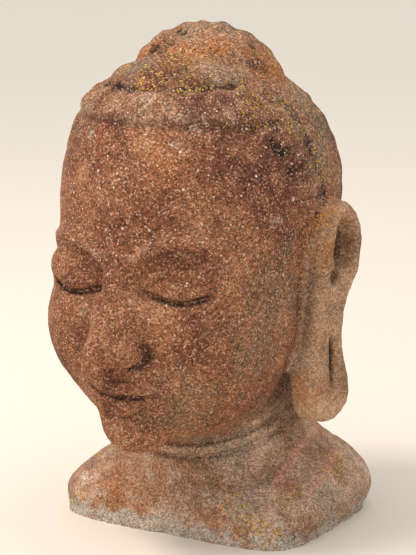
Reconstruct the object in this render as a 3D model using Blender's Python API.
"""Stone Buddha head: face, hair cap, topknot, long-lobed ears, neck and cut-off shoulders in one piece.

Frame: metres, +Z up. The face looks along -Y and the statue's left ear is at +X. The origin is the
middle of the flat underside. The head is laid out as its carvers do, in angulas (finger breadths) from
the middle of the head, and each form is a signed distance that the next one is blended into or cut out of.
"""

import math
from dataclasses import dataclass

import bpy
import numpy as np

# Driving dimensions
HEIGHT = 0.270  # underside to the top of the topknot
BUST_WIDTH = 0.158  # across the shoulder ends
BUST_DEPTH = 0.109  # chest to back
SURFACE_STEP = HEIGHT / 165  # spacing at which the finished form is skinned
FACES_KEPT = 9800  # triangles left after thinning

ANGULAS_HIGH = 21.15  # the whole work in finger breadths
ANGULA = HEIGHT / ANGULAS_HIGH
HEAD_MIDDLE = (0.0, -1.8, 11.75)  # middle of the head above the underside's middle, in angulas
HEAD_NOD = 3.0  # degrees that the chin is drawn in towards the neck
TRIM_ALLOWANCE = 0.5  # stone left below the underside before it is trimmed flat, in angulas
TRIM_ROUNDING = 0.2  # rounds the lower edge of that stone, in angulas
FOLD_ROUNDING = 0.06  # rounds the form where the two halves meet, in angulas
SETTLE_REACH = 0.2  # furthest a skin point moves at a time, as a share of the spacing
CULL_REACH = 1.7  # a form further off than this needs no exact distance, in angulas
FACE_FRONT = -2.0  # the cut lines of the face lie in front of this y, in angulas
LINE_FADE = 1 / 6  # share of a cut line over which its far end fades out
MARGIN = 1.0  # room left round the form when it is sampled, in angulas


@dataclass(frozen=True)
class Ellipsoid:
    """An ellipsoid in angulas; soften is its blend width, lean turns it about X, Y and Z in degrees."""

    centre: tuple
    radii: tuple
    soften: float
    lean: tuple = (0.0, 0.0, 0.0)

    def box(self):
        """Lowest and highest corner."""
        reach = np.array(self.radii) if not any(self.lean) else max(self.radii)
        return np.array(self.centre) - reach, np.array(self.centre) + reach

    def exact(self, points):
        """Signed distance from the points."""
        local = turned(points - np.array(self.centre), self.lean)
        radii = np.array(self.radii)
        near = np.linalg.norm(local / radii, axis=1)
        slope = np.linalg.norm(local / radii**2, axis=1)
        return near * (near - 1.0) / np.maximum(slope, 1e-6)


@dataclass(frozen=True)
class Roll:
    """A roll of clay along a smooth curve through a few points, in angulas, with its radius at each."""

    through: tuple
    radii: tuple
    soften: float

    def box(self):
        """Lowest and highest corner."""
        points = np.array(self.through)
        return points.min(0) - max(self.radii), points.max(0) + max(self.radii)

    def exact(self, points):
        """Signed distance from the points."""
        curve = smooth_curve(np.column_stack([self.through, self.radii]))
        nearest = np.full(len(points), np.inf)
        for a, b in zip(curve[:-1], curve[1:]):
            run = (b - a)[:3]
            along = np.clip((points - a[:3]) @ run / (run @ run), 0.0, 1.0)
            gap = np.linalg.norm(points - a[:3] - along[:, None] * run, axis=1)
            nearest = np.minimum(nearest, gap - a[3] - (b[3] - a[3]) * along)
        return nearest


@dataclass(frozen=True)
class Cut:
    """A line cut into the face, laid out in front view as (x, z) in angulas, fading at its far end."""

    through: tuple
    width: float
    depth: float

    def depth_at(self, points):
        """How deep the line is cut at the points."""
        found = np.zeros(len(points))
        reach = 3 * self.width
        outline = np.array(self.through)
        flat = points[:, [0, 2]]
        near = (flat > outline.min(0) - reach).all(1) & (flat < outline.max(0) + reach).all(1)
        near &= points[:, 1] < FACE_FRONT
        flat = flat[near]
        nearest = np.full(len(flat), np.inf)
        place = np.zeros(len(flat))
        curve = smooth_curve(outline)
        for i, (a, b) in enumerate(zip(curve[:-1], curve[1:])):
            along = np.clip((flat - a) @ (b - a) / ((b - a) @ (b - a)), 0.0, 1.0)
            gap = np.linalg.norm(flat - a - along[:, None] * (b - a), axis=1)
            place = np.where(gap < nearest, (i + along) / (len(curve) - 1), place)
            nearest = np.minimum(gap, nearest)
        fade = np.clip((1 - place) / LINE_FADE, 0.0, 1.0)
        found[near] = self.depth * fade * np.exp(-((nearest / self.width) ** 2))
        return found


# Head: masses
SKULL = Ellipsoid((0.0, 0.8, 2.75), (5.65, 6.1, 5.2), 1.5)
FACE = Ellipsoid((0.0, -0.9, -1.6), (5.15, 4.85, 5.9), 1.6)
JAW = Ellipsoid((0.0, -2.0, -4.55), (3.8, 3.2, 2.7), 1.4)
CHEEK = Ellipsoid((2.6, -3.5, -2.6), (2.0, 1.75, 2.2), 1.3)
CHIN = Ellipsoid((0.0, -4.92, -6.4), (1.3, 0.95, 0.95), 1.1)
MUZZLE = Ellipsoid((0.0, -4.6, -4.4), (2.0, 1.35, 1.7), 0.9)
NAPE = Ellipsoid((0.0, 2.8, -3.4), (3.4, 2.7, 4.4), 1.8)

# Head: eyes
SOCKET = Ellipsoid((2.1, -6.35, 0.1), (2.4, 1.4, 1.3), 0.35, (0.0, -5.0, 24.0))
LID = Ellipsoid((2.45, -4.0, 0.0), (1.85, 1.34, 1.2), 0.5, (0.0, -4.0, 14.0))
LOWER_LID = Ellipsoid((2.4, -4.1, -0.95), (1.4, 1.0, 0.55), 0.5, (0.0, -4.0, 14.0))
LID_SLIT = Cut(((1.05, -0.5), (1.75, -0.68), (2.5, -0.8), (3.3, -0.66), (4.0, -0.3)), 0.14, 0.24)
BROW = Roll(
    ((0.5, -5.75, -0.1), (0.95, -5.68, 0.8), (2.3, -5.3, 1.45), (3.6, -4.3, 1.3), (4.6, -2.5, 0.5)),
    (0.22, 0.27, 0.26, 0.2, 0.1),
    0.55,
)
URNA = Ellipsoid((0.0, -5.25, 2.35), (0.36, 0.3, 0.36), 0.3)

# Head: nose
NOSE_BRIDGE = Roll(((0.0, -5.3, 1.5), (0.0, -5.95, -0.3), (0.0, -6.85, -2.4)), (0.44, 0.44, 0.6), 0.45)
NOSE_TIP = Ellipsoid((0.0, -6.8, -2.65), (0.75, 0.78, 0.6), 0.4)
NOSE_WING = Ellipsoid((0.82, -6.05, -2.8), (0.52, 0.8, 0.5), 0.5)
NOSE_SIDE = Ellipsoid((0.62, -5.75, -1.9), (0.5, 0.75, 1.15), 0.7)
NOSTRIL = Ellipsoid((0.42, -6.35, -3.38), (0.24, 0.4, 0.22), 0.15)
PHILTRUM = Cut(((0.0, -3.4), (0.0, -4.05)), 0.22, 0.1)

# Head: mouth
UPPER_LIP = Roll(((1.65, -5.35, -4.5), (0.95, -5.72, -4.38), (0.0, -5.88, -4.36)), (0.1, 0.31, 0.36), 0.25)
LOWER_LIP = Roll(((1.4, -5.4, -4.72), (0.8, -5.66, -4.95), (0.0, -5.78, -5.02)), (0.1, 0.37, 0.43), 0.25)
MOUTH_LINE = Cut(((0.0, -4.7), (0.5, -4.66), (1.15, -4.63), (1.8, -4.52)), 0.11, 0.16)

# Head: hair cap and topknot
HAIR_THICKNESS = 0.26
HAIR_EDGE = 0.45
HAIR_SEAT = 0.2  # blend between hair and skin
# (degrees round from the front, z) of the hairline: over the forehead, down before the ear, round the nape
HAIRLINE = (
    (-20.0, 6.0),
    (0.0, 6.0),
    (30.0, 6.0),
    (52.0, 5.7),
    (66.0, 4.9),
    (74.0, 3.4),
    (80.0, 1.6),
    (90.0, -0.4),
    (110.0, -2.4),
    (135.0, -4.0),
    (160.0, -4.6),
    (180.0, -4.7),
    (200.0, -4.7),
)
CROWN = Ellipsoid((0.0, -0.7, 4.9), (3.4, 2.9, 3.05), 0.9)
TOPKNOT = Ellipsoid((0.0, 1.6, 5.95), (3.65, 3.1, 3.45), 0.12)
CURL_PITCH = 1.05  # spacing of the curls
CURL_HEIGHT = 0.06
CURL_ROUND = 0.42  # a curl's roundness as a share of the spacing

# Head: ears
# outline seen from the side as (y, z), from the top of the front edge backwards round to the front
EAR_OUTLINE = (
    (0.3, 1.0),
    (0.65, 2.0),
    (1.45, 2.4),
    (2.2, 1.8),
    (2.45, 0.6),
    (2.15, -0.9),
    (1.8, -2.4),
    (1.75, -4.0),
    (2.05, -5.4),
    (2.0, -6.5),
    (1.35, -7.1),
    (0.25, -6.85),
    (-0.15, -5.7),
    (-0.1, -4.5),
    (0.05, -3.0),
    (0.2, -1.0),
)
# (z, x of the middle, half of the thickness) down the ear
EAR_PLATE = ((2.3, 5.6, 0.75), (-0.5, 5.6, 0.8), (-3.3, 5.4, 0.7), (-6.0, 5.45, 0.62), (-7.2, 5.4, 0.55))
EAR_ACROSS = (4.2, 7.2)  # the plate lies between these two x
EAR_FLARE = 0.3  # outward for each angula backwards
EAR_EDGE = 0.4
EAR_RIM = (0.36, 0.26, 0.2)  # distance in from the outline, width, height
EAR_RIM_START = (0.8, 0.6, 0.3)  # the rim starts where this share of y and z passes the last number
EAR_RIM_END = -3.4  # the rim fades out towards this height
EAR_RIM_FADE = (1.5, 0.8)  # over how much height, and how much of that share, the rim fades
EAR_HOLLOW = (1.4, 0.5, 0.52, 0.95, 0.75)  # y, z, half-width, half-height, depth
EAR_CANAL = (0.95, -0.75, 0.28, 0.35, 0.45)
EAR_SLIT = (0.95, -4.4, 0.22, 1.2, 0.26)
EAR_CREASE = 0.2  # rounding where the plate is thinnest
EAR_SEAT = 0.4  # blend between ear and head

# Neck and shoulders, in angulas above the underside
NECK = Roll(((0.0, 0.2, 1.8), (0.0, -0.3, 4.5), (0.0, -0.7, 7.0)), (3.6, 3.55, 3.45), 1.1)
NECK_FOLDS = (4.0, 3.3)  # heights of the folds at the front of the neck
NECK_FOLD_RISE = 0.3  # how the folds climb towards the nape
NECK_FOLD_WIDTH = 0.13
NECK_FOLD_DEPTH = 0.2
# (height, share of the width, share of the depth, y of the middle, squareness of the plan) up the shoulders
SHOULDERS = (
    (-1.2, 0.93, 1.02, -0.2, 5.0),
    (0.15, 0.96, 1.01, 0.0, 5.0),
    (1.15, 1.0, 1.0, 0.35, 4.8),
    (2.05, 0.89, 0.95, 0.95, 3.8),
    (2.8, 0.73, 0.83, 1.3, 2.8),
    (3.7, 0.57, 0.70, 1.35, 2.3),
    (5.4, 0.43, 0.5, 0.8, 2.0),
)
SHOULDER_TOP_EDGE = 1.4
SHOULDER_SCALE = 0.8  # keeps the slab a true distance where its sides lean
HEAD_SEAT = ((-3.0, 0.5), (3.0, 2.0))  # (y, blend between head and neck), from throat to nape


def smooth_curve(through, samples=13):
    """Points along a Catmull-Rom curve through the given points."""
    points = np.array(through, float)
    padded = np.vstack([2 * points[0] - points[1], points, 2 * points[-1] - points[-2]])
    spans = len(points) - 1
    curve = []
    for place in np.linspace(0.0, spans, samples):
        span = min(int(place), spans - 1)
        t = place - span
        a, b, c, d = padded[span : span + 4]
        bend = (2 * a - 5 * b + 4 * c - d) * t**2 + (3 * b - a - 3 * c + d) * t**3
        curve.append(0.5 * (2 * b + (c - a) * t + bend))
    return np.array(curve)


def turned(points, lean):
    """Points turned back by a form's lean, in degrees about X, Y and Z."""
    for axis, angle in enumerate(lean):
        if angle:
            one, two = (axis + 1) % 3, (axis + 2) % 3
            c, s = math.cos(math.radians(angle)), math.sin(math.radians(angle))
            moved = points.copy()
            moved[:, one] = c * points[:, one] + s * points[:, two]
            moved[:, two] = c * points[:, two] - s * points[:, one]
            points = moved
    return points


def distance(points, form):
    """Signed distance to a form: exact near it, and to its box further off."""
    low, high = form.box()
    found = np.linalg.norm(np.maximum(0.0, np.maximum(low - points, points - high)), axis=1)
    near = found < CULL_REACH
    found[near] = form.exact(points[near])
    return found


def join(a, b, soften):
    """Union of two forms with a fillet as wide as soften."""
    mix = np.maximum(soften - np.abs(a - b), 0.0) / soften
    return np.minimum(a, b) - mix**2 * soften / 4


def carve(a, b, soften):
    """Form a with form b cut out of it."""
    return -join(-a, b, soften)


def overlap(a, b, soften):
    """What two forms have in common."""
    return -join(-a, -b, soften)


def face_form(p):
    """Skull, face and jaw, then cheeks, brow, eyes, nose and mouth."""
    form = SKULL.exact(p)
    for mass in (FACE, JAW, NAPE, CHEEK, MUZZLE, CHIN, BROW):
        form = join(form, distance(p, mass), mass.soften)
    form = carve(form, distance(p, SOCKET), SOCKET.soften)
    for part in (LOWER_LID, LID, NOSE_BRIDGE, NOSE_TIP, NOSE_SIDE, NOSE_WING):
        form = join(form, distance(p, part), part.soften)
    form = carve(form, distance(p, NOSTRIL), NOSTRIL.soften)
    for part in (UPPER_LIP, LOWER_LIP, URNA):
        form = join(form, distance(p, part), part.soften)
    for line in (PHILTRUM, MOUTH_LINE, LID_SLIT):
        form = form + line.depth_at(p)
    return form


def curls(p, centre, reach):
    """Height of rows of worn round curls laid round a centre on a dome of the given reach."""
    offset = p - np.array(centre)
    turn = np.arctan2(offset[:, 0], -offset[:, 1])
    down = np.arctan2(np.hypot(offset[:, 0], offset[:, 1]), offset[:, 2])
    row = down * reach / CURL_PITCH
    nearest = np.round(row)
    ring = 2 * np.pi * reach * np.sin(nearest * CURL_PITCH / reach)
    count = np.maximum(np.round(ring / CURL_PITCH), 1.0)
    place = turn * count / (2 * np.pi) + 0.5 * (nearest % 2)
    share = ((row - nearest) ** 2 + (place - np.round(place)) ** 2) / CURL_ROUND**2
    return CURL_HEIGHT * (2 * np.exp(-share) - 1)


def hair_form(p):
    """The close cap of curls, a little proud of the skull behind the hairline, and the topknot."""
    cap = join(SKULL.exact(p), distance(p, CROWN), CROWN.soften)
    cap = cap - HAIR_THICKNESS - curls(p, SKULL.centre, SKULL.radii[0])
    line = smooth_curve(HAIRLINE, 60)
    around = np.degrees(np.arctan2(p[:, 0], SKULL.centre[1] - p[:, 1]))
    slope = np.gradient(line[:, 1], line[:, 0] * math.radians(1) * SKULL.radii[0])
    lean = np.sqrt(1 + np.interp(around, line[:, 0], slope) ** 2)
    edge = (np.interp(around, line[:, 0], line[:, 1]) - p[:, 2]) / lean
    cap = overlap(cap, edge, HAIR_EDGE)
    knot = distance(p, TOPKNOT)
    near = knot < CULL_REACH
    knot[near] = knot[near] - curls(p[near], TOPKNOT.centre, TOPKNOT.radii[0])
    return join(cap, knot, TOPKNOT.soften)


def outline_distance(flat, outline):
    """Signed distance in the plane to a smooth closed outline, negative inside."""
    points = np.array(outline)
    ring = np.vstack([points[-2:], points, points[:3]])
    curve = smooth_curve(ring, 2 * (len(ring) - 1) + 1)[4:-4]
    nearest = np.full(len(flat), np.inf)
    inside = np.zeros(len(flat), bool)
    for a, b in zip(curve[:-1], curve[1:]):
        run = b - a
        along = np.clip((flat - a) @ run / (run @ run), 0.0, 1.0)
        nearest = np.minimum(nearest, np.linalg.norm(flat - a - along[:, None] * run, axis=1))
        spans = (a[1] > flat[:, 1]) != (b[1] > flat[:, 1])
        rise = run[1] if run[1] else 1e-9
        inside ^= spans & (flat[:, 0] < a[0] + (flat[:, 1] - a[1]) * run[0] / rise)
    return np.where(inside, -nearest, nearest)


def dimple(flat, place):
    """Depth of a soft oval dimple laid out as (y, z, half-width, half-height, depth)."""
    y, z, wide, tall, depth = place
    share = ((flat[:, 0] - y) / wide) ** 2 + ((flat[:, 1] - z) / tall) ** 2
    return depth * np.exp(-(share**2))


def ear_form(p):
    """One ear: a flaring plate with a raised rim, a hollow, and the stretched lobe with its slit."""
    outline = np.array(EAR_OUTLINE)
    heights, middles, halves = np.array(EAR_PLATE)[::-1].T
    middle = np.interp(p[:, 2], heights, middles)
    thick = np.interp(p[:, 2], heights, halves)
    middle = middle + EAR_FLARE * (p[:, 1] - outline[:, 0].mean())
    low = np.array([EAR_ACROSS[0], *outline.min(0)])
    high = np.array([EAR_ACROSS[1], *outline.max(0)])
    found = np.linalg.norm(np.maximum(0.0, np.maximum(low - p, p - high)), axis=1)
    near = found < CULL_REACH
    flat = p[near][:, 1:]
    edge = outline_distance(flat, EAR_OUTLINE)
    inset, width, height = EAR_RIM
    fade = np.clip((flat[:, 1] - EAR_RIM_END) / EAR_RIM_FADE[0], 0.0, 1.0)
    begun = (flat @ np.array(EAR_RIM_START[:2]) - EAR_RIM_START[2]) / EAR_RIM_FADE[1]
    fade = fade * np.clip(begun, 0.0, 1.0)
    relief = height * fade * np.exp(-(((edge + inset) / width) ** 2))
    for place in (EAR_HOLLOW, EAR_CANAL, EAR_SLIT):
        relief = relief - dimple(flat, place)
    across = p[near][:, 0] - middle[near]
    outer = across - thick[near] - relief
    inner = -across - thick[near]
    plate = overlap(outer, inner, EAR_CREASE)
    found[near] = overlap(plate, edge, EAR_EDGE)
    return found


def shoulder_form(p):
    """The cut-off shoulders: a rounded slab that slopes up into the neck."""
    outline = smooth_curve(SHOULDERS, 40)
    wide, deep, middle, square = (np.interp(p[:, 2], outline[:, 0], outline[:, i]) for i in (1, 2, 3, 4))
    wide = wide * BUST_WIDTH / 2 / ANGULA
    deep = deep * BUST_DEPTH / 2 / ANGULA
    share = np.abs(p[:, 0] / wide) ** square + np.abs((p[:, 1] - middle) / deep) ** square
    side = (share ** (1 / square) - 1.0) * deep * SHOULDER_SCALE
    return overlap(side, p[:, 2] - SHOULDERS[-1][0], SHOULDER_TOP_EDGE)


def neck_form(p):
    """The neck with its carved folds."""
    form = NECK.exact(p)
    climb = p[:, 2] - NECK_FOLD_RISE * (p[:, 1] + NECK.radii[0] - NECK.through[0][1])
    for height in NECK_FOLDS:
        form = form + NECK_FOLD_DEPTH * np.exp(-(((climb - height) / NECK_FOLD_WIDTH) ** 2))
    return form


def whole_form(points):
    """Signed distance in angulas from points in angulas above the underside."""
    body = join(shoulder_form(points), neck_form(points), NECK.soften)
    body = overlap(body, -TRIM_ALLOWANCE - points[:, 2], TRIM_ROUNDING)
    local = turned(points - np.array(HEAD_MIDDLE), (HEAD_NOD, 0.0, 0.0))
    local[:, 0] = np.hypot(local[:, 0], FOLD_ROUNDING)
    head = join(face_form(local), hair_form(local), HAIR_SEAT)
    head = join(head, ear_form(local), EAR_SEAT)
    seat = np.interp(points[:, 1], *zip(*HEAD_SEAT))
    return join(head, body, seat)


def sampled(field, low, high, step, block=4):
    """Field values on a grid, worked out in full only in the blocks that the surface may cross."""
    blocks = np.ceil((high - low) / (step * block)).astype(int)
    axes = [low[i] + step * block * np.arange(blocks[i] + 1) for i in range(3)]
    coarse = field(np.stack(np.meshgrid(*axes, indexing="ij"), -1).reshape(-1, 3)).reshape(blocks + 1)
    near = np.zeros(blocks, bool)
    for corner in np.ndindex(2, 2, 2):
        part = tuple(slice(c, c + n) for c, n in zip(corner, blocks))
        near |= np.abs(coarse[part]) < step * block
    values = coarse[:-1, :-1, :-1]
    mask = near
    for axis in range(3):
        values = np.repeat(values, block, axis)
        mask = np.repeat(mask, block, axis)
    values = np.pad(values, [(0, 1)] * 3, mode="edge")
    grown = np.zeros(values.shape, bool)
    for corner in np.ndindex(2, 2, 2):
        grown[tuple(slice(c, c + n) for c, n in zip(corner, mask.shape))] |= mask
    index = np.argwhere(grown)
    parts = np.array_split(index, len(index) // 100000 + 1)
    values[grown] = np.concatenate([field(low + step * part) for part in parts])
    return values


def untangled(values, rounds=4):
    """Sampled values with no four neighbours alternating in and out, which would pinch the skin."""
    side = np.eye(3, dtype=int)
    for _ in range(rounds):
        for one, two in ((0, 1), (1, 2), (2, 0)):
            inside = values < 0
            beside = np.roll(inside, -1, one)
            above = np.roll(inside, -1, two)
            across = np.roll(beside, -1, two)
            pinched = (inside == across) & (beside == above) & (inside != beside)
            for place in np.argwhere(pinched):
                square = [tuple(place + i * side[one] + j * side[two]) for i in (0, 1) for j in (0, 1)]
                weakest = min(square, key=lambda at: abs(values[at]))
                values[weakest] *= -1
    return values


def skinned(values, low, step):
    """Vertices and quads of the surface where sampled values change sign, one vertex for a crossed cell."""
    inside = values < 0
    corners = np.array(list(np.ndindex(2, 2, 2)))
    cells = tuple(n - 1 for n in values.shape)
    count = np.zeros(cells, int)
    for corner in corners:
        count += inside[tuple(slice(c, c + n) for c, n in zip(corner, cells))]
    crossed = np.argwhere((count > 0) & (count < 8))
    number = np.full(cells, -1)
    number[tuple(crossed.T)] = np.arange(len(crossed))
    level = np.stack([values[tuple((crossed + corner).T)] for corner in corners], 1)
    total = np.zeros((len(crossed), 3))
    hits = np.zeros(len(crossed))
    for a in range(8):
        for b in range(a + 1, 8):
            if np.abs(corners[a] - corners[b]).sum() == 1:
                va, vb = level[:, a], level[:, b]
                hit = (va < 0) != (vb < 0)
                t = np.where(hit, va / np.where(hit, va - vb, 1.0), 0.0)
                total += hit[:, None] * (corners[a] + t[:, None] * (corners[b] - corners[a]))
                hits += hit
    vertices = low + step * (crossed + total / hits[:, None])
    quads = []
    for axis in range(3):
        one, two = (axis + 1) % 3, (axis + 2) % 3
        edge = np.argwhere(inside != np.roll(inside, -1, axis))
        keep = (edge[:, axis] < cells[axis]) & (edge[:, one] > 0) & (edge[:, two] > 0)
        keep &= (edge[:, one] < cells[one]) & (edge[:, two] < cells[two])
        edge = edge[keep]
        back = np.eye(3, dtype=int)
        ring = [edge - back[one] - back[two], edge - back[two], edge, edge - back[one]]
        quad = np.stack([number[tuple(place.T)] for place in ring], 1)
        outward = inside[tuple(edge.T)]
        quads.append(np.where(outward[:, None], quad, quad[:, ::-1]))
    return vertices, np.concatenate(quads)


def settled(field, vertices, step, rounds=2):
    """Vertices moved along the field's slope onto the true surface, a small part of a cell at a time."""
    probe = step / 4
    for _ in range(rounds):
        level = field(vertices)
        slope = np.stack([field(vertices + probe * side) - level for side in np.eye(3)], 1) / probe
        move = -level[:, None] * slope / np.maximum((slope**2).sum(1), 1.0)[:, None]
        length = np.linalg.norm(move, axis=1)[:, None]
        vertices = vertices + move * np.minimum(1.0, SETTLE_REACH * step / np.maximum(length, 1e-9))
    return vertices


def stone():
    """Weathered red-brown sandstone."""
    material = bpy.data.materials.new("weathered_red_sandstone")
    material.use_nodes = True
    shader = material.node_tree.nodes["Principled BSDF"]
    shader.inputs["Base Color"].default_value = (0.27, 0.135, 0.075, 1.0)
    shader.inputs["Roughness"].default_value = 0.92
    shader.inputs["Metallic"].default_value = 0.0
    return material


def underside_cutter(low, high):
    """A slab below the floor line that trims the shoulders flat."""
    bpy.ops.mesh.primitive_cube_add(size=1.0)
    cutter = bpy.context.object
    cutter.name = "underside_cutter"
    depth = 2 * TRIM_ALLOWANCE * ANGULA
    cutter.dimensions = (*(2 * (high - low)[:2] * ANGULA), depth)
    cutter.location = (0.0, 0.0, -depth / 2)
    cutter.hide_render = True
    cutter.display_type = "WIRE"
    return cutter


def build():
    """Makes the finished solid."""
    for obj in list(bpy.data.objects):
        bpy.data.objects.remove(obj)
    reach = max(BUST_WIDTH / 2 / ANGULA, BUST_DEPTH / 2 / ANGULA, EAR_ACROSS[1])
    front = HEAD_MIDDLE[1] + NOSE_TIP.centre[1] - NOSE_TIP.radii[1]
    low = np.array([-reach, front, -TRIM_ALLOWANCE]) - MARGIN
    high = np.array([reach, reach, ANGULAS_HIGH]) + MARGIN
    step = SURFACE_STEP / ANGULA
    vertices, quads = skinned(untangled(sampled(whole_form, low, high, step)), low, step)
    vertices = settled(whole_form, vertices, step)
    mesh = bpy.data.meshes.new("buddha_head")
    mesh.from_pydata((vertices * ANGULA).tolist(), [], quads.tolist())
    mesh.shade_smooth()
    head = bpy.data.objects.new("buddha_head", mesh)
    bpy.context.scene.collection.objects.link(head)
    mesh.materials.append(stone())
    thin = head.modifiers.new("Thin", "DECIMATE")
    thin.ratio = FACES_KEPT / (2 * len(quads))
    trim = head.modifiers.new("Flat underside", "BOOLEAN")
    trim.object = underside_cutter(low, high)
    trim.operation = "DIFFERENCE"
    trim.solver = "EXACT"
    return head


build()
